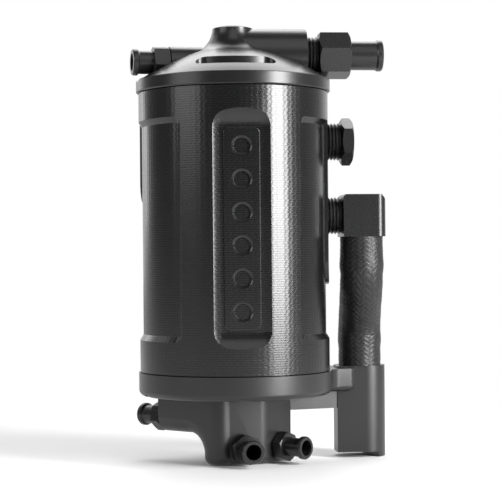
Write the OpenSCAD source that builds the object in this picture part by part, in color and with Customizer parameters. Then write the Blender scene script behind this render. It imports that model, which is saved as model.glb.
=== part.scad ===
// Oil catch can: a round billet can with a domed lid, a ported base with a side post, and a return hose.
// Millimetres, +Z up. The origin is on the can's axis, in the plane that the base block stands on.
// The dimpled panel faces -Y and the two side ports face +X.

/* [Can] */
// Outer radius of the can
can_r = 50.8; // [50:0.1:53]
// Length of the can between the base and the lid
can_h = 149; // [146:0.5:165]
// Thickness of the can's wall at its main bore
wall = 8.3; // [8:0.1:10]
// Step from the main bore out to the wider bore that takes the filter stack
bore_step = 1.2; // [0.8:0.1:1.4]
// Height of the filter ledge above the bottom of the can
ledge_h = 95.5; // [94:0.5:97]
// Chamfer on the can's rims
rim_chamfer = 0.5; // [0.2:0.1:1]

/* [Dimpled panel] */
// Width of the flat panel
panel_w = 19; // [16:0.5:22]
// Height of the flat panel
panel_h = 104; // [98:1:108]
// Height of the panel's middle above the bottom of the can
panel_mid_h = 75.4; // [73:0.2:77]
// Depth of the swept pocket below the can's surface
sweep_depth = 3.2; // [2.6:0.1:3.4]
// Radius of the sweep from the can's surface down to the panel
sweep_r = 15.4; // [12:0.2:17]
// Depth of the panel below the bottom of the sweep
panel_step = 0.45; // [0.3:0.05:0.6]
// Corner radius of the panel
panel_corner_r = 3.2; // [2:0.2:5]
// Number of dimples
dimple_count = 6; // [3:1:6]
// Distance between dimples
dimple_pitch = 16.9; // [13:0.1:17.5]
// Radius of a dimple's floor
dimple_r = 4.1; // [3:0.1:4.5]
// Width of the sloping rim round a dimple
dimple_rim = 1.25; // [0.8:0.05:1.5]
// Depth of a dimple
dimple_depth = 1.4; // [1:0.1:1.6]

/* [Side pockets] */
// Angle from the panel to the front edge of a side pocket
pocket_start_a = 36.9; // [34:0.1:44]
// Angle from the panel to the rear edge of a side pocket
pocket_end_a = 147; // [140:1:150]
// Depth of a side pocket
pocket_depth = 1.8; // [1.2:0.1:2]
// Slope width of the pocket's walls
pocket_slope = 3; // [1:0.1:3.4]
// Corner radius of the pocket at the can's surface
pocket_corner_r = 4.8; // [4:0.1:6]
// Height of the land below the pockets
pocket_low_h = 17.4; // [16:0.2:22]
// Height of the land above the pockets
pocket_land_h = 15.6; // [15:0.1:18]

/* [Side ports] */
// Half width of the raised pad round the side ports
pad_half_w = 12.5; // [12:0.1:14]
// Distance from the top of the can down to the plug
plug_drop = 26.2; // [25:0.1:27]
// Distance between the plug and the elbow
port_pitch = 39.9; // [38:0.1:42]
// Distance from the elbow down to the end of the pad
pad_tail = 36.8; // [30:0.2:42]
// Direction of the plain pad at the left rear, from +X
plain_pad_a = 155; // [145:1:160]
// Distance from the top of the can down to the end of the plain pad
plain_pad_drop = 60.3; // [50:0.2:70]

/* [Pipe fittings] */
// Thread radius of the large pipe thread where it enters the can or lid
npt_r = 9.9; // [9.6:0.1:10.2]
// Distance from thread to thread
npt_pitch = 1.8; // [1.5:0.1:2]
// Depth of the thread
npt_depth = 1.1; // [0.8:0.05:1.3]
// Hex size of the outlet fitting and the plug, across flats
big_hex_af = 22.2; // [21.5:0.1:23]
// Length of thread that shows between a large fitting and its port
thread_show = 7.05; // [6:0.05:8]
// Length of thread inside the port
thread_in = 6.2; // [5:0.1:7]
// Length of the outlet fitting's hex
outlet_hex_l = 16.9; // [14:0.1:19]
// Radius of the outlet fitting's hose barb
outlet_barb_r = 7.75; // [7:0.05:8]
// Length of the outlet fitting's hose barb
outlet_barb_l = 17.9; // [15:0.1:20]
// Thickness of the plug's head
plug_head_h = 6.1; // [5:0.1:8]

/* [Elbow and return hose] */
// Length of the elbow block along the port
elbow_l = 23.3; // [22:0.1:25]
// Width and height of the elbow block
elbow_w = 22.7; // [22:0.1:24]
// Distance from the can's surface to the hose's axis at the elbow
hose_off = 18.3; // [18:0.1:20]
// Radius of the hose
hose_r = 11.5; // [11:0.1:11.8]
// Radius of the hose's bore
hose_bore_r = 8.1; // [8:0.05:8.5]
// Radius of the barbs inside the hose
hose_barb_r = 7.6; // [7:0.1:7.7]
// Length of the barbs inside the hose
hose_barb_l = 17; // [14:0.5:19]

/* [Lid] */
// Overhang of the lid's rim over the can
lid_over = 1.2; // [0.8:0.1:2.5]
// Height of the lid's rim
lid_rim_h = 6.6; // [6:0.1:7.5]
// Radius of the dome's curve
dome_r = 110; // [105:1:120]
// Slope of the dome at its foot
dome_a = 35; // [34:0.5:36]
// Width of the flat land round the dome
dome_land = 1.2; // [0.8:0.1:1.6]
// Radius of the hub
hub_r = 10.7; // [10:0.1:12]
// Height of the hub above the lid's rim
hub_h = 29.8; // [29:0.1:33]
// Radius of the fillet between hub and dome
hub_fillet_r = 15; // [13:0.2:16]
// Radius of the outlet boss
outlet_boss_r = 14.2; // [13.8:0.1:14.6]
// Distance from the lid's edge back to the end of the outlet boss
outlet_back = 12.9; // [11:0.1:14]
// Direction of the vent fitting, from +X
vent_a = 188; // [184:1:192]
// Height of the vent fitting above the lid's rim
vent_h = 9.2; // [9:0.1:9.8]
// Radius of the vent boss
vent_boss_r = 8.6; // [8:0.1:9]
// Distance from the lid's edge back to the end of the vent boss
vent_back = 17.2; // [16:0.1:18]
// Distance from the lid's edge in to a wrench slot
slot_edge_d = 8.5; // [8:0.1:10]
// Width of a wrench slot
slot_w = 8.8; // [6:0.1:9]
// Half angle of a wrench slot, to the middle of its round end
slot_half_a = 24.7; // [18:0.1:26]
// Length of the lid's spigot inside the can
spigot_l = 13.5; // [12:0.1:14]

/* [Vent fitting] */
// Hex size of the vent fitting, across flats
vent_hex_af = 15.9; // [15:0.1:16.5]
// Length of the vent fitting's hex
vent_hex_l = 8.6; // [8:0.1:11]
// Radius of the vent fitting's hose barb
vent_barb_r = 6.15; // [5.5:0.05:6.5]
// Length of the vent fitting's hose barb
vent_barb_l = 11.1; // [10:0.1:14]

/* [Base] */
// Height of the base flange's underside
base_z = 36.6; // [36:0.1:40]
// Thickness of the base flange
flange_h = 12.3; // [12:0.1:14]
// Overhang of the base flange over the can
flange_over = 0.8; // [0.2:0.1:2.7]
// Rounding under the edge of the flange
flange_round = 3; // [2:0.1:4]
// Length of the base's spigot inside the can
base_spigot_l = 5.2; // [4.8:0.1:6]
// Half width of the ear that carries the post
ear_half_w = 14; // [13:0.1:15]
// Distance that the ear stands out from the flange
ear_out = 13.9; // [12:0.1:15]
// Direction of the post, from +X
post_a = 16; // [14:0.5:18]
// Distance from the can's surface to the post's axis
post_off = 24.6; // [24.2:0.1:26.2]
// Radius of the post
post_r = 12.3; // [12:0.1:13]
// Distance from the post's axis to its flat side face
post_side = 15.9; // [15:0.1:17]
// Height of the post's top above the base flange
post_proud = 1; // [0.6:0.1:2]
// Height of the relief under the post
post_relief = 2.9; // [2:0.1:4]
// Distance from the post's axis out to its lip, inside of which the post is relieved
lip_in = 5.2; // [4:0.1:6.5]
// Height of the web's lower edge
web_z = 27.2; // [25:0.1:29]
// Half width of the web
web_half_w = 7; // [6:0.1:8]
// Half width of the arm that carries the left fitting
arm_r = 8; // [7.6:0.1:8.4]
// Height of the arm's axis
arm_z = 24; // [23.6:0.1:25]
// Distance from the flange's edge in to the end of the arm
arm_back = 14.6; // [13:0.1:16]
// Radius of the bend from the arm down to the front boss
arm_bend_r = 10.7; // [10:0.1:12]
// Rounding round the foot of the block
foot_round = 4.5; // [3:0.1:5]

/* [Small fittings] */
// Height of the two low fittings
low_port_z = 8.8; // [8.6:0.1:10]
// Hex size of the small fittings, across flats
small_hex_af = 14.3; // [13.8:0.1:14.6]
// Thickness of a small fitting's hex
small_hex_h = 5.6; // [5:0.1:6.4]
// Radius of a small fitting's hose barb
small_barb_r = 5; // [4.6:0.05:5.2]
// Length of a small fitting's hose barb
small_barb_l = 11.6; // [10:0.1:13]
// Radius of a small fitting's bore
small_bore_r = 4.15; // [3.2:0.05:4.2]

/* [Inside] */
// Thickness of a baffle plate
baffle_t = 1.5; // [1:0.1:2]
// Height of the mesh pack
mesh_h = 12; // [10:0.5:12.5]
// Radius of the holes in a baffle plate
baffle_hole_r = 2.2; // [1.6:0.1:2.5]
// Thickness of the retaining ring
ring_t = 1.5; // [1.2:0.1:1.6]
// Clearance round the pieces that drop into the can
drop_clear = 0.3; // [0.2:0.05:0.5]

/* [Fasteners] */
// Number of base screws
screw_count = 5; // [4:1:5]
// Distance from the can's surface in to the base screws
screw_in = 4.2; // [4:0.1:4.4]
// Radius of a base screw
screw_r = 2.5; // [2:0.1:2.6]
// Length of a base screw under its head
screw_l = 14; // [12:0.5:16]
// Radius of a base screw's head
screw_head_r = 4.25; // [4:0.05:4.5]
// Height of a base screw's head
screw_head_h = 5; // [4:0.1:5.2]
// Radius of the tapped holes in the can's back
rear_hole_r = 2.1; // [1.6:0.1:2.6]
// Distance between the tapped holes in the can's back
rear_pitch = 80; // [60:1:100]

/* [Fits] */
// Clearance round threads
thread_clear = 0.15; // [0.1:0.05:0.3]
// Clearance round screws and other small parts
small_clear = 0.1; // [0.05:0.05:0.3]

/* [Hidden] */
$fn = 96;

// Runs a cut past the surface that it opens
over = 1;

// Levels, from the standing plane up
can_z = base_z + flange_h;
can_top = can_z + can_h;
lid_z = can_top + lid_rim_h;
ledge_z = can_z + ledge_h;
plug_z = can_top - plug_drop;
elbow_z = plug_z - port_pitch;
post_top = can_z + post_proud;
vent_z = lid_z + vent_h;
outlet_z = lid_z + outlet_boss_r - 0.4;
panel_z = can_z + panel_mid_h;

// Radii and reaches that follow the can
bore_r = can_r - wall;
lid_r = can_r + lid_over;
flange_r = can_r + flange_over;
outlet_boss_l = lid_r - outlet_back;
vent_boss_l = lid_r - vent_back;
slot_in_r = lid_r - slot_edge_d - slot_w;
hose_x = can_r + hose_off;
ear_l = flange_r + ear_out;
post_d = can_r + post_off;
lip_in_r = post_d + lip_in;
arm_l = flange_r - arm_back;
screw_pcd_r = can_r - screw_in;

// Bores of the can, from the filter up
stack_r = bore_r + bore_step;
lid_thread_r = stack_r + 1.3;
lid_seat_r = lid_thread_r + 1;
lid_seat_h = 6;
lid_thread_pitch = 2;
lid_thread_depth = 0.9;

// The walls of a side pocket run this far into its corners, which are larger and deeper by the ease
pocket_lap = 0.2;
pocket_ease = 0.03;

// The swept pocket and its panel
sweep_y = -can_r + sweep_depth;
panel_y = sweep_y + panel_step;

// Middles of the dome's curve and of the hub's fillet, which stands on the dome and cuts into it by a hair
hub_top = lid_z + hub_h;
hub_crown_r = 33;
dome_mid_x = lid_r - dome_land - dome_r * sin(dome_a);
dome_mid_z = lid_z + 0.1 - dome_r * cos(dome_a);
fillet_ease = 0.02;
fillet_x = hub_r + hub_fillet_r;
fillet_z = dome_mid_z + sqrt(pow(dome_r + hub_fillet_r, 2) - pow(fillet_x - dome_mid_x, 2));
dome_end_x = dome_mid_x + (fillet_x - dome_mid_x) * dome_r / (dome_r + hub_fillet_r);
dome_end_z = dome_mid_z + (fillet_z - dome_mid_z) * dome_r / (dome_r + hub_fillet_r);

// Gas space in the lid, and the groove of its seal
lid_hollow_r = lid_thread_r - 8;
vent_drop_d = lid_hollow_r - 15.5;
hex_ease = 1.3;
seal_in_r = lid_seat_r - 2.4;
seal_half_h = 1.5;
seal_mid_z = can_top - 2.6;

// Outlet passage
outlet_bore_r = 6.1;
outlet_bead = 0.65;
barb_wall = 1.5;

// The block under the flange: a front face, a bevel and a right face, with the boss at its front left corner
boss_x = -9.5;
boss_y = -11.2;
boss_r = arm_r + 0.05;
front_face_a = -80;
right_face_a = -45;
bevel_a = (front_face_a + right_face_a) / 2;
front_face_w = 17.4;
bevel_w = 5.1;
right_face_w = 19.2;
arm_a = 135;
block_p1 = [-5.4, -17.8];
block_p2 = block_p1 + front_face_w * along(front_face_a);
block_p3 = block_p2 + bevel_w * along(bevel_a);
block_p4 = block_p3 + right_face_w * along(right_face_a);
block_back = [[24, 13], [13, 21], [-7, 21], [-16, 12]];

// Drillings of the base
drain_x = -0.5;
drain_y = 6;
drain_r = 5;
front_run = 24;
right_run = 14;
riser_in = 10;
riser_r = small_bore_r - 0.75;

// Rings and grooves of the base's spigot
base_seal_r = bore_r - 2.3;
base_seal_h = 2.8;
slosh_z = can_z + base_spigot_l;
slosh_screw_d = base_seal_r - 1.6;
slosh_screw_a = [30, 150, 270];
slosh_thread_l = 4.5;
slosh_head_h = 1.6;

// The five base screws and their counterbores
screw_start_a = 54;
screw_seat_h = 6;

// Ear fillets: their radius, how far out they stand along the ear, and the angle where they touch the flange
ear_root = 20;
ear_corner_r = 4;
ear_fillet_r = 8;
ear_fillet_z = flange_round - 0.3;
ear_fillet_d = sqrt(pow(flange_r + ear_fillet_r, 2) - pow(ear_half_w + ear_fillet_r, 2));
ear_fillet_a = asin((ear_half_w + ear_fillet_r) / (flange_r + ear_fillet_r));

// The post stands on the ear's line, with its bore a little nearer to the can and the front
post_x = post_d * cos(post_a);
post_y = post_d * sin(post_a);
post_bore_shift = 1.8;
post_corner_r = 11.5;
hose_low_x = post_x - post_bore_shift;
hose_low_y = post_y - post_bore_shift;
post_bore_r = 6.5;
post_tap_r = 8.5;
post_tap_l = 14;

// The hose runs straight off both barbs and leans back between them
elbow_low_z = elbow_z - elbow_w / 2;
hose_bend_top = elbow_low_z - hose_barb_l;
hose_bend_low = post_top + hose_barb_l;
hose_rings = 18;
hose_sides = 32;

// The filter stack stands on the ledge
mesh_z = ledge_z + baffle_t;
top_baffle_z = mesh_z + mesh_h;
ring_z = top_baffle_z + baffle_t;
ring_depth = 1.3;
plate_edge = 9.8;

// Small fittings stand a little off their faces
small_gap = 0.9;
small_thread_r = 5.2;
small_thread_l = 6.5;
small_bead = 1.1;
small_drill_r = 5.4;

// Direction along a face whose normal points to angle a
function along(a) = [-sin(a), cos(a)];

// Zigzag edge of a thread of radius r that starts at height z
function zigzag(r, z, l, pitch, depth, taper = 0) = [
    for (i = [0 : floor(l / pitch) - 1], half = [0, 1])
        [r - depth * (1 - half) + taper * (z + (i + half / 2) * pitch), z + (i + half / 2) * pitch]
];

// Turns a shape that points up so that it points out along angle a, at height z and distance d
module outward(a, z, d = 0) translate([d * cos(a), d * sin(a), z]) rotate([0, 90, a]) children();

// Hexagonal bar with its corners turned down at both ends
module hex_bar(af, l, corner = 0.7) {
    reach = af / 2 / cos(30);
    intersection() {
        cylinder(r = reach, h = l, $fn = 6);
        rotate_extrude() polygon([
            [0, 0], [af / 2, 0], [reach, corner], [reach, l - corner], [af / 2, l], [0, l]
        ]);
    }
}

// Edge of a hose barb that starts at height z: a smooth tail, a groove and a bead with a short flat
function barb_edge(r, l, bead, z) = [
    [r, z], [r, z + l - 3.6], [r + bead, z + l - 2.6], [r + bead, z + l - 0.8], [r + bead - 0.5, z + l]
];

// Tapered pipe thread from the port outwards, with the port's face at height 0
module pipe_thread(r, l_in, l_out, pitch = npt_pitch, depth = npt_depth)
    rotate_extrude() polygon(concat(
        [[0, -l_in], [r - depth, -l_in]],
        zigzag(r, -l_in + 0.3, l_in + l_out - 0.6, pitch, depth, 1 / 32),
        [[r - depth, l_out], [0, l_out]]
    ));

module can_body() color("#26272a") difference() {
    rotate_extrude() polygon([
        [bore_r, can_z], [can_r - rim_chamfer, can_z], [can_r, can_z + rim_chamfer],
        [can_r, can_top - rim_chamfer], [can_r - rim_chamfer, can_top], [lid_seat_r, can_top],
        [lid_seat_r, can_top - lid_seat_h], [lid_thread_r, can_top - lid_seat_h],
        [lid_thread_r, can_top - spigot_l - over], [stack_r, can_top - spigot_l - over],
        [stack_r, ring_z + ring_t + small_clear], [stack_r + ring_depth, ring_z + ring_t + small_clear],
        [stack_r + ring_depth, ring_z], [stack_r, ring_z], [stack_r, ledge_z], [bore_r, ledge_z]
    ]);
    front_pocket();
    difference() {
        side_pocket(-90 + pocket_start_a, -90 + pocket_end_a);
        pad(0, elbow_z - pad_tail);
    }
    difference() {
        side_pocket(-90 - pocket_end_a, -90 - pocket_start_a);
        pad(plain_pad_a, can_top - plain_pad_drop);
    }
    for (z = [plug_z, elbow_z])
        outward(0, z) cylinder(r = npt_r + thread_clear, h = can_r + over);
    for (i = [0 : screw_count - 1]) rotate(screw_start_a + i * 360 / screw_count)
        translate([screw_pcd_r, 0, can_z - over]) cylinder(r = screw_r + small_clear, h = screw_l + over);
    for (side = [-1, 1])
        outward(90, panel_z + side * rear_pitch / 2, can_r - 5.5) cylinder(r = rear_hole_r, h = 5.5 + over);
}

// The swept pocket, the flat panel in it and the row of dimples
module front_pocket() {
    reach = [panel_w / 2, panel_h / 2];
    translate([0, sweep_y - sweep_r, panel_z]) hull()
        for (x = [-1, 1], z = [-1, 1])
            translate([x * reach.x, 0, z * reach.y]) rotate([90, 0, 0]) sphere(sweep_r, $fn = 64);
    translate([0, panel_y, panel_z]) rotate([90, 0, 0]) linear_extrude(2 * panel_step) rounded_slot(
        panel_w, panel_h, panel_corner_r
    );
    for (i = [0 : dimple_count - 1])
        translate([0, panel_y, panel_z + (i - (dimple_count - 1) / 2) * dimple_pitch]) rotate([-90, 0, 0])
            dimple();
}

module rounded_slot(w, h, r) {
    square([w - 2 * r, h], center = true);
    square([w, h - 2 * r], center = true);
    for (x = [-1, 1], y = [-1, 1]) translate([x * (w / 2 - r), y * (h / 2 - r)]) circle(r);
}

module dimple() rotate_extrude() polygon([
    [0, -0.2], [dimple_r + dimple_rim + 0.2, -0.2], [dimple_r, dimple_depth * 0.8], [dimple_r, dimple_depth],
    [0, dimple_depth]
]);

// A shallow pocket round the can between two angles, with sloping walls and cone-shaped corners. Its end
// pieces are flat below, a hair deeper than the round floor that they run into.
module side_pocket(from_a, to_a) {
    floor_r = can_r - pocket_depth;
    out_r = can_r + pocket_depth;
    end_r = floor_r - pocket_ease;
    z1 = can_z + pocket_low_h;
    z2 = can_top - pocket_land_h;
    low = pocket_corner_r - pocket_slope;
    high = pocket_corner_r + pocket_slope;
    corner_a = asin(pocket_corner_r / can_r);
    lap_a = asin(pocket_lap / can_r);
    rotate(from_a + corner_a - lap_a) rotate_extrude(angle = to_a - from_a - 2 * (corner_a - lap_a)) polygon([
        [floor_r, z1 + pocket_slope], [out_r, z1 - pocket_slope], [out_r, z2 + pocket_slope],
        [floor_r, z2 - pocket_slope]
    ]);
    for (side = [-1, 1]) rotate(side < 0 ? from_a + corner_a : to_a - corner_a) {
        translate([0, 0, z1 + pocket_corner_r - pocket_lap])
            linear_extrude(z2 - z1 - 2 * (pocket_corner_r - pocket_lap)) polygon([
                [end_r, -side * 2.5], [out_r, -side * 2.5], [out_r, side * high], [end_r, side * low]
            ]);
        for (z = [z1 + pocket_corner_r, z2 - pocket_corner_r])
            outward(0, z, end_r)
                linear_extrude(out_r - end_r, scale = (high + pocket_ease) / (low + pocket_ease))
                    circle(low + pocket_ease, $fn = 64);
    }
}

// Full-thickness land that runs down from the top of a side pocket to a round end
module pad(a, end_z) rotate(a) translate([0, 0, end_z + pad_half_w]) rotate([90, 0, 90])
    linear_extrude(2 * can_r) {
        circle(pad_half_w);
        translate([-pad_half_w, 0]) square([2 * pad_half_w, can_top - end_z]);
    }

module lid() color("#26272a") difference() {
    union() {
        lid_shell();
        outward(0, outlet_z) cylinder(r = outlet_boss_r, h = outlet_boss_l);
        outward(vent_a, vent_z) cylinder(r = vent_boss_r, h = vent_boss_l);
    }
    lid_hollow();
    outward(0, outlet_z, -outlet_bore_r)
        cylinder(r = outlet_bore_r, h = outlet_boss_l + outlet_bore_r + over);
    outward(0, outlet_z, outlet_boss_l - thread_in - 1)
        cylinder(r = npt_r + thread_clear, h = thread_in + 1 + over);
    outward(vent_a, vent_z, vent_drop_d - 1.5) cylinder(r = vent_barb_r - barb_wall, h = vent_boss_l);
    outward(vent_a, vent_z, vent_boss_l - thread_in)
        cylinder(r = vent_barb_r + thread_clear, h = thread_in + over);
    outward(vent_a, vent_z, vent_boss_l) cylinder(r = vent_hex_af / 2 / cos(30) + hex_ease, h = can_r);
    for (a = [-92.5, 87.5]) rotate(a) wrench_slot();
}

// Rim, dome and hub, and the spigot that screws into the can
module lid_shell() {
    rotate_extrude() {
        polygon([
            [0, can_top], [lid_r - 0.6, can_top], [lid_r, can_top + 0.6], [lid_r, lid_z - 0.3],
            [lid_r - 0.4, lid_z + 0.1], [0, lid_z + 0.1]
        ]);
        intersection() {
            translate([dome_mid_x, dome_mid_z]) circle(dome_r, $fn = 720);
            translate([0, lid_z]) square([lid_r, hub_h]);
        }
        hub_section();
    }
    rotate_extrude() polygon(concat(
        [
            [0, can_top], [0, can_top - spigot_l],
            [lid_thread_r - thread_clear - lid_thread_depth, can_top - spigot_l]
        ],
        zigzag(
            lid_thread_r - thread_clear, can_top - spigot_l + 0.4, spigot_l - lid_seat_h - 0.8,
            lid_thread_pitch, lid_thread_depth
        ),
        [
            [lid_thread_r - thread_clear - lid_thread_depth, can_top - lid_seat_h],
            [lid_seat_r - thread_clear, can_top - lid_seat_h + 0.4],
            [lid_seat_r - thread_clear, seal_mid_z - seal_half_h], [seal_in_r, seal_mid_z - seal_half_h],
            [seal_in_r, seal_mid_z + seal_half_h], [lid_seat_r - thread_clear, seal_mid_z + seal_half_h],
            [lid_seat_r - thread_clear, can_top]
        ]
    ));
}

// Half of the hub's section, with a crowned top and the fillet at its side
module hub_section() intersection() {
    difference() {
        polygon([
            [0, lid_z], [dome_end_x, lid_z], [dome_end_x, dome_end_z], [fillet_x, fillet_z],
            [fillet_x, fillet_z + hub_h], [0, fillet_z + hub_h]
        ]);
        translate([fillet_x, fillet_z]) circle(hub_fillet_r + fillet_ease, $fn = 180);
    }
    translate([0, hub_top - hub_crown_r]) circle(hub_crown_r, $fn = 360);
}

// Gas space under the dome and the way up to the outlet
module lid_hollow() {
    hollow_top = lid_z - 2;
    rotate_extrude() polygon([
        [0, can_top - spigot_l - over], [lid_hollow_r, can_top - spigot_l - over],
        [lid_hollow_r, hollow_top - 6], [lid_hollow_r - 6, hollow_top], [0, hollow_top]
    ]);
    cylinder(r = outlet_bore_r, h = outlet_z);
    outward(vent_a, 0) translate([0, 0, vent_drop_d]) rotate([0, -90, 0])
        cylinder(r = vent_barb_r - barb_wall, h = vent_z);
}

// Slot in the dome for a pin wrench, with upright walls and round ends
module wrench_slot() {
    mid_r = slot_in_r + slot_w / 2;
    floor_z = lid_z + 0.8;
    translate([0, 0, floor_z]) {
        rotate(-slot_half_a) rotate_extrude(angle = 2 * slot_half_a)
            translate([slot_in_r, 0]) square([slot_w, hub_h]);
        for (side = [-1, 1]) rotate(side * slot_half_a) translate([mid_r, 0])
            cylinder(r = slot_w / 2, h = hub_h);
    }
}

module base_manifold() color("#242527") difference() {
    union() {
        base_flange();
        base_ear();
        base_block();
        base_arm();
        rotate(post_a) translate([ear_root, -web_half_w, web_z])
            cube([post_d - ear_root, 2 * web_half_w, base_z - web_z + 1]);
        base_post();
    }
    base_passages();
}

// Round flange with its spigot, drain funnel and seal groove
module base_flange() rotate_extrude() difference() {
    union() {
        translate([0, base_z]) square([flange_r - flange_round, flange_h]);
        translate([0, base_z + flange_round]) square([flange_r, flange_h - flange_round]);
        translate([flange_r - flange_round, base_z + flange_round]) circle(flange_round);
        translate([0, can_z]) square([bore_r - small_clear, base_spigot_l]);
    }
    translate([base_seal_r, can_z + 1.2]) square([bore_r, base_seal_h]);
    polygon([
        [0, can_z - 3], [7, can_z - 3], [base_seal_r - 3.2, can_z + base_spigot_l],
        [base_seal_r - 3.2, can_z + base_spigot_l + over], [0, can_z + base_spigot_l + over]
    ]);
    translate([-flange_r, 0]) square([flange_r, 2 * can_z]);
}

// Ear that runs out from the flange to the post, with a fillet on each side
module base_ear() rotate(post_a) {
    difference() {
        union() {
            translate([0, 0, base_z + flange_round]) linear_extrude(flange_h - flange_round)
                ear_outline(0);
            translate([0, 0, base_z]) hull() for (a = [0, 22.5, 45, 67.5, 90])
                translate([0, 0, flange_round * (1 - cos(a))]) linear_extrude(0.01)
                    ear_outline(flange_round * (1 - sin(a)));
            for (side = [-1, 1]) mirror([0, side < 0 ? 1 : 0, 0])
                translate([0, 0, base_z + ear_fillet_z]) linear_extrude(flange_h - ear_fillet_z) polygon([
                    [flange_r / 2, 0], [ear_fillet_d, 0], [ear_fillet_d, ear_half_w + 0.01],
                    [flange_r * cos(ear_fillet_a), flange_r * sin(ear_fillet_a)]
                ]);
        }
        for (side = [-1, 1])
            translate([ear_fillet_d, side * (ear_half_w + ear_fillet_r), base_z])
                cylinder(r = ear_fillet_r, h = flange_h + over);
    }
}

module ear_outline(inset) {
    w = ear_half_w - inset;
    l = ear_l - inset;
    r = ear_corner_r;
    translate([ear_root, -w]) square([l - r - ear_root, 2 * w]);
    translate([ear_root, -w + r]) square([l - ear_root, 2 * (w - r)]);
    for (side = [-1, 1]) translate([l - r, side * (w - r)]) circle(r, $fn = 32);
}

// Port block under the flange, with its foot rounded, and the round boss at its front corner
module base_block() {
    outline = concat([block_p1, block_p2, block_p3, block_p4], block_back);
    translate([0, 0, foot_round]) linear_extrude(base_z - foot_round + 1) polygon(outline);
    hull() for (a = [0, 30, 60, 90])
        translate([0, 0, foot_round * (1 - cos(a))]) linear_extrude(0.01)
            offset(delta = -foot_round * (1 - sin(a))) polygon(outline);
    translate([boss_x, boss_y, 0]) rotate_extrude() {
        square([boss_r - foot_round, base_z + 1]);
        translate([0, foot_round]) square([boss_r, base_z + 1 - foot_round]);
        intersection() {
            translate([boss_r - foot_round, foot_round]) circle(foot_round);
            square(boss_r);
        }
    }
}

// Arm to the left fitting: a bar with a round underside that bends down into the front boss
module base_arm() translate([boss_x, boss_y, 0]) rotate(arm_a) {
    bend_r = arm_bend_r + arm_r;
    translate([0, 0, arm_z]) rotate([0, 90, 0]) cylinder(r = arm_r, h = arm_l);
    translate([0, -arm_r, arm_z]) cube([arm_l, 2 * arm_r, base_z - arm_z + 1]);
    translate([bend_r, 0, arm_z - bend_r]) rotate([90, 0, 0]) rotate([0, 0, 90])
        rotate_extrude(angle = 90) translate([bend_r, 0]) circle(arm_r);
    translate([0, -arm_r, 0]) rotate([90, 0, 0]) mirror([0, 0, 1]) linear_extrude(2 * arm_r) difference() {
        translate([0, arm_z - bend_r]) square([bend_r, bend_r]);
        translate([bend_r, arm_z - bend_r]) circle(bend_r);
    }
}

// Hose post: round outside, flat front and a square front edge, relieved below but for its outer lip
module base_post() difference() {
    translate([post_x, post_y]) linear_extrude(post_top) {
        circle(post_r);
        translate([-post_side, -post_r]) square([post_side, 2 * post_r - post_corner_r]);
        translate([post_corner_r - post_side, -post_r]) square([post_side - post_corner_r, 2 * post_r]);
        translate([post_corner_r - post_side, post_r - post_corner_r]) circle(post_corner_r);
    }
    translate([0, 0, -over]) cylinder(r = lip_in_r, h = post_relief + over);
}

// Drillings: the drain and the two ports of the block, the arm's port, the post, and the base screws
module base_passages() {
    translate([drain_x, drain_y, low_port_z]) cylinder(r = drain_r, h = can_z);
    small_port(front_port, front_face_a, low_port_z, front_run);
    small_port(right_port, right_face_a, low_port_z, right_run);
    small_port(left_port, arm_a, arm_z, arm_l);
    translate([boss_x, boss_y, arm_z]) cylinder(r = riser_r, h = can_z);
    translate([right_port.x, right_port.y, low_port_z]) rotate(right_face_a) translate([-riser_in, 0])
        cylinder(r = riser_r, h = can_z);
    translate([hose_low_x, hose_low_y, -over]) {
        cylinder(r = post_bore_r, h = post_top + 2 * over);
        translate([0, 0, over + post_top - post_tap_l]) cylinder(r = post_tap_r, h = post_tap_l + over);
    }
    for (i = [0 : screw_count - 1]) rotate(screw_start_a + i * 360 / screw_count) translate([screw_pcd_r, 0])
    {
        translate([0, 0, base_z - over]) cylinder(r = screw_r + small_clear, h = flange_h + 2 * over);
        translate([0, 0, base_z - over]) cylinder(r = screw_head_r + 0.3, h = screw_seat_h + over);
    }
    for (a = slosh_screw_a) rotate(a) translate([slosh_screw_d, 0, slosh_z - 6])
        cylinder(r = 1.35, h = 6 + over);
}

// Middles of the two port faces, and of the arm's end
front_port = (block_p1 + block_p2) / 2;
right_port = (block_p3 + block_p4) / 2;
left_port = [boss_x, boss_y] + arm_l * [cos(arm_a), sin(arm_a)];

// Tapped port at a face, with its drilling behind it
module small_port(at, a, z, l) translate([at.x, at.y, z]) rotate([0, 90, a]) {
    translate([0, 0, -l]) cylinder(r = riser_r + 0.1, h = l + over);
    translate([0, 0, -small_thread_l - 1]) cylinder(r = small_drill_r, h = small_thread_l + 1 + over);
}

// Hose fitting for a small port: thread, hex and barb, with its face at height 0
module small_fitting(at, a, z) color("#2b2c2e") translate([at.x, at.y, z]) rotate([0, 90, a]) difference() {
    union() {
        pipe_thread(small_thread_r, small_thread_l, small_gap, 0.9, 0.55);
        translate([0, 0, small_gap]) rotate(12) hex_bar(small_hex_af, small_hex_h);
        rotate_extrude() polygon(concat(
            [[0, small_gap + 1]], [[small_barb_r, small_gap + 1]],
            barb_edge(small_barb_r, small_barb_l, small_bead, small_gap + small_hex_h),
            [[0, small_gap + small_hex_h + small_barb_l]]
        ));
    }
    translate([0, 0, -small_thread_l - over])
        cylinder(r = small_bore_r, h = small_thread_l + small_gap + small_hex_h + small_barb_l + 2 * over);
}

module front_fitting() small_fitting(front_port, front_face_a, low_port_z);
module right_fitting() small_fitting(right_port, right_face_a, low_port_z);
module left_fitting() small_fitting(left_port, arm_a, arm_z);

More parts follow.
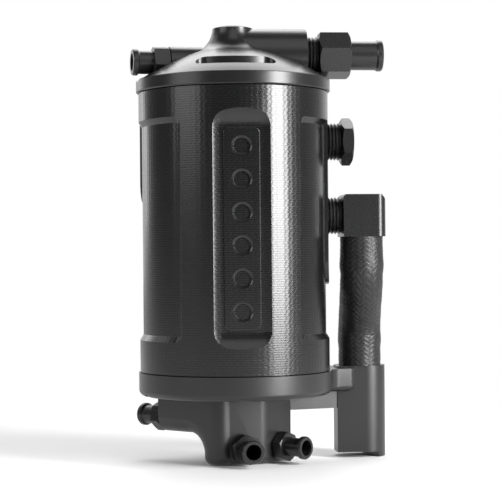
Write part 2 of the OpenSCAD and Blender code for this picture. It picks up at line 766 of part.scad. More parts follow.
module outlet_fitting() color("#2b2c2e") outward(0, outlet_z, outlet_boss_l) difference() {
    union() {
        pipe_thread(npt_r, thread_in, thread_show);
        translate([0, 0, thread_show]) hex_bar(big_hex_af, outlet_hex_l, 1);
        translate([0, 0, thread_show + outlet_hex_l - 1]) rotate_extrude() polygon(concat(
            [[0, 0], [outlet_barb_r, 0]], barb_edge(outlet_barb_r, outlet_barb_l, outlet_bead, 1),
            [[0, outlet_barb_l + 1]]
        ));
    }
    translate([0, 0, -thread_in - over])
        cylinder(r = outlet_bore_r, h = thread_in + thread_show + outlet_hex_l + outlet_barb_l + 2 * over);
}

module vent_fitting() color("#2b2c2e") outward(vent_a, vent_z, vent_boss_l) difference() {
    union() {
        pipe_thread(vent_barb_r, thread_in - 0.5, 0.5, 0.9, 0.55);
        translate([0, 0, 0.3]) rotate(18) hex_bar(vent_hex_af, vent_hex_l);
        translate([0, 0, vent_hex_l - 0.7]) rotate_extrude() polygon(concat(
            [[0, 0], [vent_barb_r, 0]], barb_edge(vent_barb_r, vent_barb_l, 0.9, 1), [[0, vent_barb_l + 1]]
        ));
    }
    translate([0, 0, -thread_in - over])
        cylinder(r = vent_barb_r - barb_wall, h = thread_in + vent_hex_l + vent_barb_l + 3 * over);
}

module side_plug() color("#2b2c2e") outward(0, plug_z, can_r) {
    pipe_thread(npt_r, thread_in, thread_show);
    translate([0, 0, thread_show]) hex_bar(big_hex_af, plug_head_h, 1);
}

// Elbow: a thread, a square block with worked edges, and the barb that points down into the hose
module elbow_fitting() color("#2a2b2d") difference() {
    union() {
        outward(0, elbow_z, can_r) pipe_thread(npt_r, thread_in, thread_show);
        elbow_block();
        translate([hose_x, 0, elbow_low_z + 1]) mirror([0, 0, 1]) rotate_extrude() polygon(concat(
            [[0, 0], [hose_barb_r, 0]], barb_edge(hose_barb_r, hose_barb_l, 0.4, 1), [[0, hose_barb_l + 1]]
        ));
    }
    outward(0, elbow_z, can_r - thread_in - over)
        cylinder(r = outlet_bore_r, h = hose_off + thread_in + over);
    translate([hose_x, 0, elbow_low_z - hose_barb_l - over])
        cylinder(r = outlet_bore_r, h = elbow_z - elbow_low_z + hose_barb_l + over);
}

module elbow_block() {
    x1 = can_r + thread_show;
    edge_r = 5;
    bevel = 2.6;
    intersection() {
        translate([x1, 0, elbow_low_z]) linear_extrude(elbow_w) {
            translate([0, -elbow_w / 2]) square([elbow_l - edge_r, elbow_w]);
            translate([0, edge_r - elbow_w / 2]) square([elbow_l, elbow_w - 2 * edge_r]);
            for (side = [-1, 1]) translate([elbow_l - edge_r, side * (elbow_w / 2 - edge_r)]) circle(edge_r);
        }
        translate([0, elbow_w, elbow_low_z]) rotate([90, 0, 0]) linear_extrude(2 * elbow_w) polygon([
            [x1, 0], [x1 + elbow_l, 0], [x1 + elbow_l, elbow_w - bevel], [x1 + elbow_l - bevel, elbow_w],
            [x1 + bevel / 2, elbow_w], [x1, elbow_w - bevel / 2]
        ]);
    }
}

module post_barb() color("#2a2b2d") translate([hose_low_x, hose_low_y, post_top]) difference() {
    rotate_extrude() polygon(concat(
        [[0, -post_tap_l + 1], [post_tap_r - small_clear, -post_tap_l + 1], [post_tap_r - small_clear, -0.5],
        [hose_barb_r, 0]], barb_edge(hose_barb_r, hose_barb_l, 0.4, 0), [[0, hose_barb_l]]
    ));
    translate([0, 0, -post_tap_l]) cylinder(r = outlet_bore_r, h = post_tap_l + hose_barb_l + over);
}

// Hose: rings of points along the lean from the elbow to the post, outside and bore, joined into one tube
function ease(t) = t * t * (3 - 2 * t);
function clamp01(t) = min(1, max(0, t));
function hose_level(i) = elbow_low_z + (post_top - elbow_low_z) * i / hose_rings;
function hose_lean(z) = ease(clamp01((hose_bend_top - z) / (hose_bend_top - hose_bend_low)));
function hose_mid(z) = [hose_x + (hose_low_x - hose_x) * hose_lean(z), hose_low_y * hose_lean(z), z];
function swell(z, at) = 0.35 * pow(max(0, 1 - pow((z - at) / 6, 2)), 2);
function hose_out_r(z) = hose_r - 0.1 + swell(z, hose_bend_top + 2) + swell(z, hose_bend_low - 2);
function hose_slope(z) = atan2(hose_mid(z - 0.5).y - hose_mid(z + 0.5).y, 1);
function hose_tilt(z) = z > hose_bend_top || z < hose_bend_low ? 0 : hose_slope(z);
function hose_ring(z, r) = let (c = hose_mid(z), s = hose_tilt(z)) [
    for (k = [0 : hose_sides - 1]) let (a = k * 360 / hose_sides)
        c + r * [cos(a), sin(a) * cos(s), sin(a) * sin(s)]
];

module transfer_hose() color("#1d1d1e") {
    n = hose_sides;
    rows = hose_rings + 1;
    points = concat(
        [for (i = [0 : hose_rings]) each hose_ring(hose_level(i), hose_out_r(hose_level(i)))],
        [for (i = [0 : hose_rings]) each hose_ring(hose_level(i), hose_bore_r)]
    );
    far = rows * n;
    last = hose_rings * n;
    faces = concat(
        [for (i = [0 : hose_rings - 1], k = [0 : n - 1]) let (j = (k + 1) % n)
            [i * n + k, i * n + j, (i + 1) * n + j, (i + 1) * n + k]],
        [for (i = [0 : hose_rings - 1], k = [0 : n - 1]) let (j = (k + 1) % n)
            [far + i * n + j, far + i * n + k, far + (i + 1) * n + k, far + (i + 1) * n + j]],
        [for (k = [0 : n - 1]) let (j = (k + 1) % n) [j, k, far + k, far + j]],
        [for (k = [0 : n - 1]) let (j = (k + 1) % n) [last + k, last + j, far + last + j, far + last + k]]
    );
    polyhedron(points, faces);
}

// Ring of flattened round section that fills a seal groove
module seal_ring(in_r, out_r, mid_z, half_h) rotate_extrude() intersection() {
    translate([(in_r + out_r) / 2, mid_z]) circle(half_h * 1.02);
    translate([in_r, mid_z - half_h * 0.94]) square([out_r - in_r, 1.88 * half_h]);
}

module lid_seal() color("#161616")
    seal_ring(seal_in_r + 0.02, lid_seat_r - 0.03, seal_mid_z, seal_half_h * 0.9);
module base_seal() color("#161616")
    seal_ring(base_seal_r + 0.02, bore_r - 0.03, can_z + 1.2 + base_seal_h / 2, base_seal_h * 0.45);

// Round plate with rings of holes, evenly spread inside a plain edge
module perforated_plate(r, z) translate([0, 0, z]) difference() {
    ring_pitch = (r - plate_edge) / 4;
    cylinder(r = r, h = baffle_t);
    for (ring = [1 : 4]) for (i = [0 : 6 * ring - 1]) rotate(i * 60 / ring + 15 * ring)
        translate([ring * ring_pitch, 0, -over])
            cylinder(r = baffle_hole_r, h = baffle_t + 2 * over, $fn = 24);
}

module lower_baffle() color("silver") perforated_plate(stack_r - drop_clear, ledge_z);
module upper_baffle() color("silver") perforated_plate(stack_r - drop_clear, top_baffle_z);
module mesh_pack() color("#b9bbbd") translate([0, 0, mesh_z])
    cylinder(r = stack_r - 2 * drop_clear, h = mesh_h);

// Split spring ring with two eyes
module retaining_ring() color("#55585c") translate([0, 0, ring_z]) difference() {
    union() {
        difference() {
            cylinder(r = stack_r + ring_depth - 0.4, h = ring_t);
            translate([0, 0, -over]) cylinder(r = stack_r - 2.2, h = ring_t + 2 * over);
        }
        for (side = [-1, 1]) rotate(-90 + side * 7) translate([stack_r - 3.6, 0])
            cylinder(r = 3.2, h = ring_t);
    }
    rotate(-90) translate([0, -1.6, -over]) cube([2 * can_r, 3.2, ring_t + 2 * over]);
    for (side = [-1, 1]) rotate(-90 + side * 7) translate([stack_r - 3.6, 0, -over])
        cylinder(r = 1.2, h = ring_t + 2 * over);
}

// Plate over the drain funnel that keeps the oil from surging
module slosh_baffle() color("silver") difference() {
    perforated_plate(bore_r - drop_clear, slosh_z);
    for (a = slosh_screw_a) rotate(a) translate([slosh_screw_d, 0, slosh_z - over])
        cylinder(r = 1.7, h = baffle_t + 2 * over);
}

module slosh_screws() color("#8d9092") for (a = slosh_screw_a) rotate(a)
    translate([slosh_screw_d, 0, slosh_z + baffle_t]) difference() {
        union() {
            rotate_extrude() polygon([
                [0, 0], [2.7, 0], [2.7, slosh_head_h / 2], [1.9, slosh_head_h], [0, slosh_head_h]
            ]);
            translate([0, 0, -baffle_t - slosh_thread_l])
                cylinder(r = 1.3, h = baffle_t + slosh_thread_l + 0.1);
        }
        translate([0, 0, slosh_head_h / 2]) cylinder(r = 1.1, h = slosh_head_h, $fn = 6);
    }

module base_screws() color("#3a3b3d")
    for (i = [0 : screw_count - 1]) rotate(screw_start_a + i * 360 / screw_count)
    translate([screw_pcd_r, 0, base_z + screw_seat_h]) difference() {
        union() {
            cylinder(r = screw_r, h = screw_l - 0.5);
            translate([0, 0, -screw_head_h]) rotate_extrude() polygon([
                [0, 0], [screw_head_r - 0.4, 0], [screw_head_r, 0.4], [screw_head_r, screw_head_h],
                [0, screw_head_h]
            ]);
        }
        translate([0, 0, -screw_head_h - over]) cylinder(r = 2.3, h = 3 + over, $fn = 6);
    }

can_body();
lid();
base_manifold();
outlet_fitting();
vent_fitting();
side_plug();
elbow_fitting();
transfer_hose();
post_barb();
front_fitting();
right_fitting();
left_fitting();
lid_seal();
base_seal();
lower_baffle();
mesh_pack();
upper_baffle();
retaining_ring();
slosh_baffle();
slosh_screws();
base_screws();
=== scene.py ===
# %% [markdown]
# # An oil catch can, dressed for the camera
# The can is a machined aluminium part from an engine bay: a round billet can, a domed lid, a ported base
# with a side post, and a short braided hose. The CAD model gives the pieces their shapes and sizes. This
# lesson gives them their looks: soft edges that catch the light, satin black anodising with tool marks, a
# raised front panel, a woven hose, and a plain white studio.

# %% Load the frame
import math

import bmesh
import bpy
from mathutils import Matrix, Vector


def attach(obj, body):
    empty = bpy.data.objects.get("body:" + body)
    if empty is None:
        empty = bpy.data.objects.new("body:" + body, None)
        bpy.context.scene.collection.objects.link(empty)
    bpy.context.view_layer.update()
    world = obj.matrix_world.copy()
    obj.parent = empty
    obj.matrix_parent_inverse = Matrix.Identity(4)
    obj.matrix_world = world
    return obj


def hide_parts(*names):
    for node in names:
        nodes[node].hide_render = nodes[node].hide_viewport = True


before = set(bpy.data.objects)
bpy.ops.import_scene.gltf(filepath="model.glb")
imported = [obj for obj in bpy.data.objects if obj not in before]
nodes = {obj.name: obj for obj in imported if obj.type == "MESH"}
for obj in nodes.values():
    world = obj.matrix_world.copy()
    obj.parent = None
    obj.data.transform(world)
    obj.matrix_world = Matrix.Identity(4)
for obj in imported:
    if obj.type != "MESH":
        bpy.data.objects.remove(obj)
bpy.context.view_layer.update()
MM = 0.001
UM = 1e-6

# %% [markdown]
# ## Camera
# The photograph was taken level, from a little left of the can's front, with a long lens. A long lens keeps
# the cylinder's sides nearly parallel. The camera is turned half a degree about its own axis, because the
# picture hangs slightly to one side, and a small shift puts the can left of the middle as in the
# photograph.

# %% Camera
VIEW_TURN = math.radians(-5)
VIEW_DISTANCE = 0.863
VIEW_HEIGHT = 0.1095
VIEW_ROLL = math.radians(-0.5)
LENS_MM, SENSOR_MM = 115.6, 36
FRAME_SHIFT = (0.0314, 0.016)
camera_data = bpy.data.cameras.new("Camera")
camera_data.lens = LENS_MM
camera_data.sensor_width = SENSOR_MM
camera_data.shift_x, camera_data.shift_y = FRAME_SHIFT
camera = bpy.data.objects.new("Camera", camera_data)
bpy.context.scene.collection.objects.link(camera)
view_place = Vector((VIEW_DISTANCE * math.sin(VIEW_TURN), -VIEW_DISTANCE * math.cos(VIEW_TURN), VIEW_HEIGHT))
camera.matrix_world = (
    Matrix.Translation(view_place)
    @ Matrix.Rotation(VIEW_TURN, 4, "Z")
    @ Matrix.Rotation(math.radians(90), 4, "X")
    @ Matrix.Rotation(VIEW_ROLL, 4, "Z")
)
bpy.context.scene.camera = camera
bpy.context.scene.view_settings.view_transform = "Standard"

# %% [markdown]
# ## Tools for the workbench
# A shader is a chain of small nodes. `add` puts one node in a tree, fills its sockets by name or number,
# and wires in the output of another node when it is handed one. With it, a long chain reads from top to
# bottom.


# %% Node helper
def add(tree, kind, *, out=0, settings=None, **sockets):
    """Adds a node, sets its properties and fills its inputs. Returns its output socket number `out`."""
    node = tree.nodes.new(kind)
    for key, value in (settings or {}).items():
        setattr(node, key, value)
    for key, value in sockets.items():
        by_number = key[0] == "i" and key[1:].isdigit()
        socket = node.inputs[int(key[1:]) if by_number else key.replace("_", " ")]
        if isinstance(value, bpy.types.NodeSocket):
            tree.links.new(value, socket)
        else:
            socket.default_value = value
    return node.outputs[out]


def maths(tree, operation, a, b=0.0, c=0.0):
    """One step of arithmetic on numbers or sockets."""
    return add(tree, "ShaderNodeMath", settings={"operation": operation}, i0=a, i1=b, i2=c)


def new_group(name, inputs, outputs):
    """A shader node group with named float or colour sockets: {name: (socket kind, default)}."""
    tree = bpy.data.node_groups.new(name, "ShaderNodeTree")
    for key, (kind, default) in inputs.items():
        socket = tree.interface.new_socket(key, in_out="INPUT", socket_type="NodeSocket" + kind)
        socket.default_value = default
    for key, kind in outputs.items():
        tree.interface.new_socket(key, in_out="OUTPUT", socket_type="NodeSocket" + kind)
    return tree, tree.nodes.new("NodeGroupInput").outputs, tree.nodes.new("NodeGroupOutput").inputs


def use_group(tree, group, **values):
    """Places a group in a material and returns its outputs by name."""
    node = tree.nodes.new("ShaderNodeGroup")
    node.node_tree = group
    for key, value in values.items():
        socket = node.inputs[key.replace("_", " ")]
        if isinstance(value, bpy.types.NodeSocket):
            tree.links.new(value, socket)
        else:
            socket.default_value = value
    return node.outputs


# %% [markdown]
# ## The studio
# A black glossy part shows only what it reflects, so the light is drawn as a map of bright and dark
# directions. Behind the can everything is white, which gives the thin bright rims at both sides. In front
# it is dark, which keeps the panel black. A second map rules the directions overhead: dark in front, white
# behind, which makes the dome pale and leaves the hub dark. The camera itself sees plain white.
#
# Soft boxes add what the maps lack. The tall key strip at the front right makes the strong upright
# highlight beside the panel, the left box a faint band on the left, and the top box and the front box light
# the upper faces. A narrow strip behind brightens the left rim.

# %% World
world = bpy.data.worlds.new("Studio")
bpy.context.scene.world = world
world.use_nodes = True
sky = world.node_tree
sky.nodes.clear()
direction = add(sky, "ShaderNodeTexCoord", out=0)
parts = sky.nodes.new("ShaderNodeSeparateXYZ")
sky.links.new(direction, parts.inputs[0])
round_angle = maths(sky, "ARCTAN2", parts.outputs[0], maths(sky, "MULTIPLY", parts.outputs[1], -1.0))
ramp_node = sky.nodes.new("ShaderNodeValToRGB")
sky.links.new(maths(sky, "MULTIPLY_ADD", round_angle, 1 / (2 * math.pi), 0.5), ramp_node.inputs[0])
ROOM = {-180: 1.0, -155: 0.96, -134: 0.38, -119: 0.15, -95: 0.13, -60: 0.05, 0: 0.03, 60: 0.05, 84: 0.14,
        121: 0.42, 140: 1.0, 180: 1.0}
ROOM_LEVEL = 1.15
stops = ramp_node.color_ramp.elements
for at, (angle, level) in enumerate(ROOM.items()):
    place = angle / 360 + 0.5
    stop = stops[at] if at < 1 else stops.new(place)
    stop.position = place
    stop.color = (level, level, level, 1)
stops.remove(stops[len(stops) - 1])
pitch = maths(sky, "ARCTAN2", parts.outputs[2], maths(sky, "MULTIPLY", parts.outputs[1], -1.0))
OVERHEAD_DARK, OVERHEAD_WHITE = math.radians(107), math.radians(121)
OVERHEAD_LEVELS = (0.10, 1.0)
OVERHEAD_FROM, OVERHEAD_FULL = 0.30, 0.62
overhead = add(sky, "ShaderNodeMapRange", settings={"interpolation_type": "SMOOTHSTEP"}, Value=pitch,
               From_Min=OVERHEAD_DARK, From_Max=OVERHEAD_WHITE, To_Min=OVERHEAD_LEVELS[0],
               To_Max=OVERHEAD_LEVELS[1])
rise = add(sky, "ShaderNodeMapRange", settings={"interpolation_type": "SMOOTHSTEP"}, Value=parts.outputs[2],
           From_Min=OVERHEAD_FROM, From_Max=OVERHEAD_FULL)
room = add(sky, "ShaderNodeMix", settings={"data_type": "RGBA"}, out=2,
           i0=rise, i6=ramp_node.outputs[0], i7=overhead)
lit = add(sky, "ShaderNodeBackground", Color=room, Strength=ROOM_LEVEL)
seen = add(sky, "ShaderNodeBackground", Color=(1, 1, 1, 1), Strength=1.0)
camera_ray = add(sky, "ShaderNodeLightPath", out=0)
mixed = add(sky, "ShaderNodeMixShader", i0=camera_ray, i1=lit, i2=seen)
sky.links.new(mixed, sky.nodes.new("ShaderNodeOutputWorld").inputs[0])


# %% Soft boxes
def soft_box(name, turn, rise, distance, width, height, level, aim=(0, 0, 0.12)):
    """A lamp of an even brightness level, placed by its angle from the front and its elevation."""
    lamp = bpy.data.lights.new(name, "AREA")
    lamp.shape = "RECTANGLE"
    lamp.size, lamp.size_y = width, height
    lamp.energy = level * math.pi * width * height
    box = bpy.data.objects.new(name, lamp)
    bpy.context.scene.collection.objects.link(box)
    box.visible_camera = False
    a, e = math.radians(turn), math.radians(rise)
    back = Vector((math.sin(a) * math.cos(e), -math.cos(a) * math.cos(e), math.sin(e)))
    facing = back.to_track_quat("Z", "Y").to_matrix().to_4x4()
    box.matrix_world = Matrix.Translation(Vector(aim) + back * distance) @ facing


soft_box("key_strip", turn=49.5, rise=0, distance=1.0, width=0.35, height=0.86, level=25.0, aim=(0, 0, 0.47))
soft_box("left_box", turn=-62, rise=22, distance=1.1, width=0.7, height=0.6, level=2.6)
soft_box("top_box", turn=174, rise=52, distance=1.0, width=0.9, height=0.6, level=3.0)
soft_box("front_top", turn=0, rise=50, distance=1.1, width=0.6, height=0.9, level=1.0)
soft_box("back_strip", turn=215, rise=12, distance=1.2, width=0.25, height=0.8, level=1.8, aim=(0, 0, 0.3))

# %% [markdown]
# ## The floor
# Plain and white. Near the can it is a matt surface that takes a soft shadow, and further out it turns into
# even white, so no horizon shows. For the can's reflections it is a little darker, with a faint glow of its
# own, so the block and the undersides aren't black.

# %% Floor
FLOOR_R, FLOOR_DROP = 6, 0.0002
PAPER, PAPER_IN_REFLECTIONS, FLOOR_GLOW = 0.86, 0.62, 0.2
WHITE_FROM, WHITE_FULL = 0.16, 0.42
bpy.ops.object.select_all(action="DESELECT")
bpy.ops.mesh.primitive_circle_add(vertices=64, radius=FLOOR_R, fill_type="NGON",
                                  location=(0, 0, -FLOOR_DROP))
floor = bpy.context.active_object
floor.name = "floor"
paper = bpy.data.materials.new("White paper")
paper.use_nodes = True
tree = paper.node_tree
tree.nodes.clear()
spot = add(tree, "ShaderNodeTexCoord", out=3)
length = add(tree, "ShaderNodeVectorMath", settings={"operation": "LENGTH"}, out=1, i0=spot)
far = add(tree, "ShaderNodeMapRange", settings={"interpolation_type": "SMOOTHSTEP"},
          Value=length, From_Min=WHITE_FROM, From_Max=WHITE_FULL)
near_floor = add(tree, "ShaderNodeBsdfDiffuse", Color=(PAPER, PAPER, PAPER, 1))
far_floor = add(tree, "ShaderNodeEmission", Color=(1, 1, 1, 1), Strength=1.0)
seen_floor = add(tree, "ShaderNodeMixShader", i0=far, i1=near_floor, i2=far_floor)
dim_floor = add(tree, "ShaderNodeBsdfDiffuse", Color=(*[PAPER_IN_REFLECTIONS] * 3, 1))
glow = add(tree, "ShaderNodeEmission", Color=(1, 1, 1, 1), Strength=FLOOR_GLOW)
lit_floor = add(tree, "ShaderNodeAddShader", i0=dim_floor, i1=glow)
camera_ray = add(tree, "ShaderNodeLightPath", out=0)
tree.links.new(add(tree, "ShaderNodeMixShader", i0=camera_ray, i1=lit_floor, i2=seen_floor),
               tree.nodes.new("ShaderNodeOutputMaterial").inputs[0])
floor.data.materials.append(paper)

# %% [markdown]
# ## Effects that several finishes share
# *Tool marks* are the fine rings that a cutter leaves round the can, broken up by its steps along the way,
# so the highlight looks woven. *Satin coat* is anodising: a little cloudy in colour and gloss, with fine
# grain, and paler in patches on the broken edges: partly rubbed wear, partly a painted highlight where a
# narrow edge catches the light.

# %% Tool marks group
MM_IN_M = 1000.0
DRIFT_SCALE = 55.0
ROW_OFFSET, ROW_SPREAD = 0.618, 2.2
tool_marks, given, result = new_group(
    "Tool marks",
    {"Ring pitch": ("Float", 1.25), "Step pitch": ("Float", 1.6), "Step depth": ("Float", 0.4),
     "Wander": ("Float", 0.3), "Radius": ("Float", 50.8)},
    {"Height": "Float"},
)
here = add(tool_marks, "ShaderNodeTexCoord", out=3)
axes = tool_marks.nodes.new("ShaderNodeSeparateXYZ")
tool_marks.links.new(here, axes.inputs[0])
drift = add(tool_marks, "ShaderNodeTexNoise", Vector=here, Scale=DRIFT_SCALE, Detail=2.0)
drift = maths(tool_marks, "MULTIPLY", maths(tool_marks, "SUBTRACT", drift, 0.5), given["Wander"])
along_axis = maths(tool_marks, "ADD", maths(tool_marks, "MULTIPLY", axes.outputs[2], MM_IN_M), drift)
round_axis = maths(tool_marks, "MULTIPLY", maths(tool_marks, "ARCTAN2", axes.outputs[1], axes.outputs[0]),
                   given["Radius"])
ring_rate = maths(tool_marks, "DIVIDE", 2 * math.pi, given["Ring pitch"])
rings = maths(tool_marks, "SINE", maths(tool_marks, "MULTIPLY", along_axis, ring_rate))
row = maths(tool_marks, "FLOOR", maths(tool_marks, "DIVIDE", along_axis, given["Ring pitch"]))
row_share = maths(tool_marks, "FRACT", maths(tool_marks, "MULTIPLY", row, ROW_OFFSET))
offset = maths(tool_marks, "MULTIPLY", row_share, ROW_SPREAD)
step_rate = maths(tool_marks, "DIVIDE", 2 * math.pi, given["Step pitch"])
step_phase = maths(tool_marks, "MULTIPLY", round_axis, step_rate)
steps = maths(tool_marks, "SINE", maths(tool_marks, "ADD", offset, step_phase))
height = maths(tool_marks, "ADD", rings, maths(tool_marks, "MULTIPLY", steps, given["Step depth"]))
tool_marks.links.new(height, result["Height"])

# %% Satin coat group
CLOUD_SCALE, GRAIN_SCALE, RUB_AND_SHEEN_SCALE = 28.0, 1900.0, 140.0
RUB_AND_SHEEN_FROM, RUB_AND_SHEEN_FULL = 0.34, 0.62
SHADE_SPREAD = 0.12
EDGE_SHINE = -0.08
satin_coat, given, result = new_group(
    "Satin coat",
    {"Colour": ("Color", (0.012, 0.012, 0.013, 1)), "Edge colour": ("Color", (0.05, 0.05, 0.052, 1)),
     "Wear and sheen": ("Float", 0.6), "Gloss": ("Float", 0.34), "Cloud": ("Float", 0.06),
     "Grain": ("Float", 0.08)},
    {"Colour": "Color", "Roughness": "Float", "Height": "Float"},
)
here = add(satin_coat, "ShaderNodeTexCoord", out=3)
cloud = add(satin_coat, "ShaderNodeTexNoise", Vector=here, Scale=CLOUD_SCALE, Detail=4.0)
grain = add(satin_coat, "ShaderNodeTexNoise", Vector=here, Scale=GRAIN_SCALE, Detail=2.0)
rub_and_sheen_noise = add(satin_coat, "ShaderNodeTexNoise", Vector=here, Scale=RUB_AND_SHEEN_SCALE, Detail=5.0, Roughness=0.65)
# Bevel faces turn paler in noise patches: partly rubbed wear, partly a painted highlight of an edge catching
# light.
edge = add(satin_coat, "ShaderNodeAttribute", settings={"attribute_name": "edge"}, out=2)
rub_and_sheen_patches = add(satin_coat, "ShaderNodeMapRange", Value=rub_and_sheen_noise, From_Min=RUB_AND_SHEEN_FROM, From_Max=RUB_AND_SHEEN_FULL)
wear_and_sheen = maths(satin_coat, "MULTIPLY", maths(satin_coat, "MULTIPLY", edge, rub_and_sheen_patches), given["Wear and sheen"])
shade = add(satin_coat, "ShaderNodeMapRange", Value=cloud, From_Min=0.3, From_Max=0.7,
            To_Min=1 - SHADE_SPREAD, To_Max=1 + SHADE_SPREAD)
tinted = add(satin_coat, "ShaderNodeMix", settings={"data_type": "RGBA", "blend_type": "MULTIPLY"}, out=2,
             i0=1.0, i6=given["Colour"], i7=shade)
satin_coat.links.new(add(satin_coat, "ShaderNodeMix", settings={"data_type": "RGBA"}, out=2,
                         i0=wear_and_sheen, i6=tinted, i7=given["Edge colour"]), result["Colour"])
cloud_offset = maths(satin_coat, "SUBTRACT", cloud, 0.5)
grain_offset = maths(satin_coat, "SUBTRACT", grain, 0.5)
uneven = maths(satin_coat, "MULTIPLY_ADD", cloud_offset, given["Cloud"], given["Gloss"])
uneven = maths(satin_coat, "MULTIPLY_ADD", grain_offset, given["Grain"], uneven)
satin_coat.links.new(maths(satin_coat, "MULTIPLY_ADD", wear_and_sheen, EDGE_SHINE, uneven), result["Roughness"])
satin_coat.links.new(grain, result["Height"])


# %% [markdown]
# ## Anodised finishes
# One recipe, four strengths. The can has the coarse rings of the milling cutter, the lid and base are
# finer, and the turned fittings are the smoothest.

# %% Anodised finishes
def anodised(name, colour, *, gloss, marks_um, grain_um, specular=0.5, **marks):
    """Black anodised aluminium. marks_um and grain_um are heights in micrometres."""
    material = bpy.data.materials.new(name)
    material.use_nodes = True
    tree = material.node_tree
    skin = tree.nodes["Principled BSDF"]
    coat = use_group(tree, satin_coat, Colour=(*colour, 1), Gloss=gloss)
    pattern = use_group(tree, tool_marks, **marks)
    fine = add(tree, "ShaderNodeBump", Height=coat["Height"], Distance=grain_um * UM, Strength=1.0)
    relief = add(tree, "ShaderNodeBump", Height=pattern["Height"], Distance=marks_um * UM, Strength=1.0,
                 Normal=fine)
    tree.links.new(coat["Colour"], skin.inputs["Base Color"])
    tree.links.new(coat["Roughness"], skin.inputs["Roughness"])
    tree.links.new(relief, skin.inputs["Normal"])
    skin.inputs["Specular IOR Level"].default_value = specular
    return material


can_finish = anodised("Black anodised, milled rings", (0.0042, 0.0043, 0.0047), gloss=0.24, marks_um=3.8,
                      grain_um=5.0, specular=0.62, Ring_pitch=1.2, Step_pitch=2.9, Step_depth=3.2)
lid_finish = anodised("Black anodised, turned", (0.006, 0.006, 0.0065), gloss=0.30, marks_um=1.2,
                      grain_um=7.0, specular=0.6, Ring_pitch=0.6, Step_depth=0.0)
base_finish = anodised("Black anodised, milled flat", (0.010, 0.010, 0.0107), gloss=0.36, marks_um=1.6,
                       grain_um=9.0, specular=0.62, Ring_pitch=0.9, Step_pitch=1.1, Step_depth=0.5)
fitting_finish = anodised("Black anodised, fittings", (0.010, 0.0101, 0.0108), gloss=0.28, marks_um=0.6,
                          grain_um=6.0, Ring_pitch=0.5, Step_depth=0.0)


# %% [markdown]
# ## Soft edges
# No machined edge is perfectly sharp: a deburring tool breaks it by a few tenths of a millimetre, and that
# narrow facet is what draws a bright line along each edge. The CAD faces meet in sharp edges, so each
# visible CAD piece is copied, its loose triangles are merged, and a Bevel modifier breaks its edges. The
# bevel's own faces are marked in an attribute called edge, which the satin coat reads to paint them paler in
# patches: partly rubbed wear, partly a painted highlight.

# %% Soft edge helpers
MERGE = 2e-6
FLAT = math.radians(0.4)
SHARP = math.radians(26)
SMOOTH = math.radians(34)
BEVEL_STEPS = 2


def copy_of(node):
    """A copy of a CAD node with its loose triangles merged into whole faces."""
    bpy.ops.object.select_all(action="DESELECT")
    piece = bpy.data.objects.new(node + "_finished", nodes[node].data.copy())
    bpy.context.scene.collection.objects.link(piece)
    bpy.context.view_layer.objects.active = piece
    piece.select_set(True)
    bpy.ops.mesh.customdata_custom_splitnormals_clear()
    bpy.ops.object.mode_set(mode="EDIT")
    bpy.ops.mesh.select_all(action="SELECT")
    bpy.ops.mesh.remove_doubles(threshold=MERGE)
    bpy.ops.mesh.dissolve_limited(angle_limit=FLAT)
    bpy.ops.object.mode_set(mode="OBJECT")
    return piece


def stand_for(piece, node):
    """Lets a piece stand for a CAD node in the finished part."""
    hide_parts(node)
    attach(piece, "root")
    print(piece.name, len(piece.data.polygons), "faces")


def break_edges(piece, width_mm, material):
    """Bevels the sharp edges and marks the bevel's faces in the attribute edge."""
    piece.data.materials.clear()
    piece.data.materials.append(material)
    piece.data.materials.append(material)
    for face in piece.data.polygons:
        face.material_index = 0
    bevel = piece.modifiers.new("Broken edges", "BEVEL")
    bevel.width = width_mm * MM
    bevel.segments = BEVEL_STEPS
    bevel.limit_method = "ANGLE"
    bevel.angle_limit = SHARP
    bevel.use_clamp_overlap = True
    bevel.material = 1
    bpy.ops.object.modifier_apply(modifier=bevel.name)
    mark = piece.data.attributes.new("edge", "FLOAT", "FACE")
    mark.data.foreach_set("value", [float(face.material_index) for face in piece.data.polygons])
    for face in piece.data.polygons:
        face.material_index = 0
    piece.data.materials.pop(index=1)
    bpy.ops.object.shade_smooth_by_angle(angle=SMOOTH)
    even = piece.modifiers.new("Even shading", "WEIGHTED_NORMAL")
    even.keep_sharp = True
    bpy.ops.object.modifier_apply(modifier=even.name)


def soften(node, width_mm, material):
    """A finished copy of a CAD node with broken edges."""
    piece = copy_of(node)
    break_edges(piece, width_mm, material)
    stand_for(piece, node)


# %% [markdown]
# ## The panel
# The photograph shows a bright line down the panel's right side and a grey one down its left: the panel
# stands a little proud of the cut behind it, and its rounded outline catches the light. Its dimples have a
# shallow sloping rim that mirrors the key light at the left of each. The CAD panel lies just under the cut,
# so on this copy the panel and its dimples are raised, and the rims are made shallower. The outline is
# found by its height and its distance from the column of dimples, and rounded with a bevel. So is the rim
# of the cut, where it meets the can's round outside.

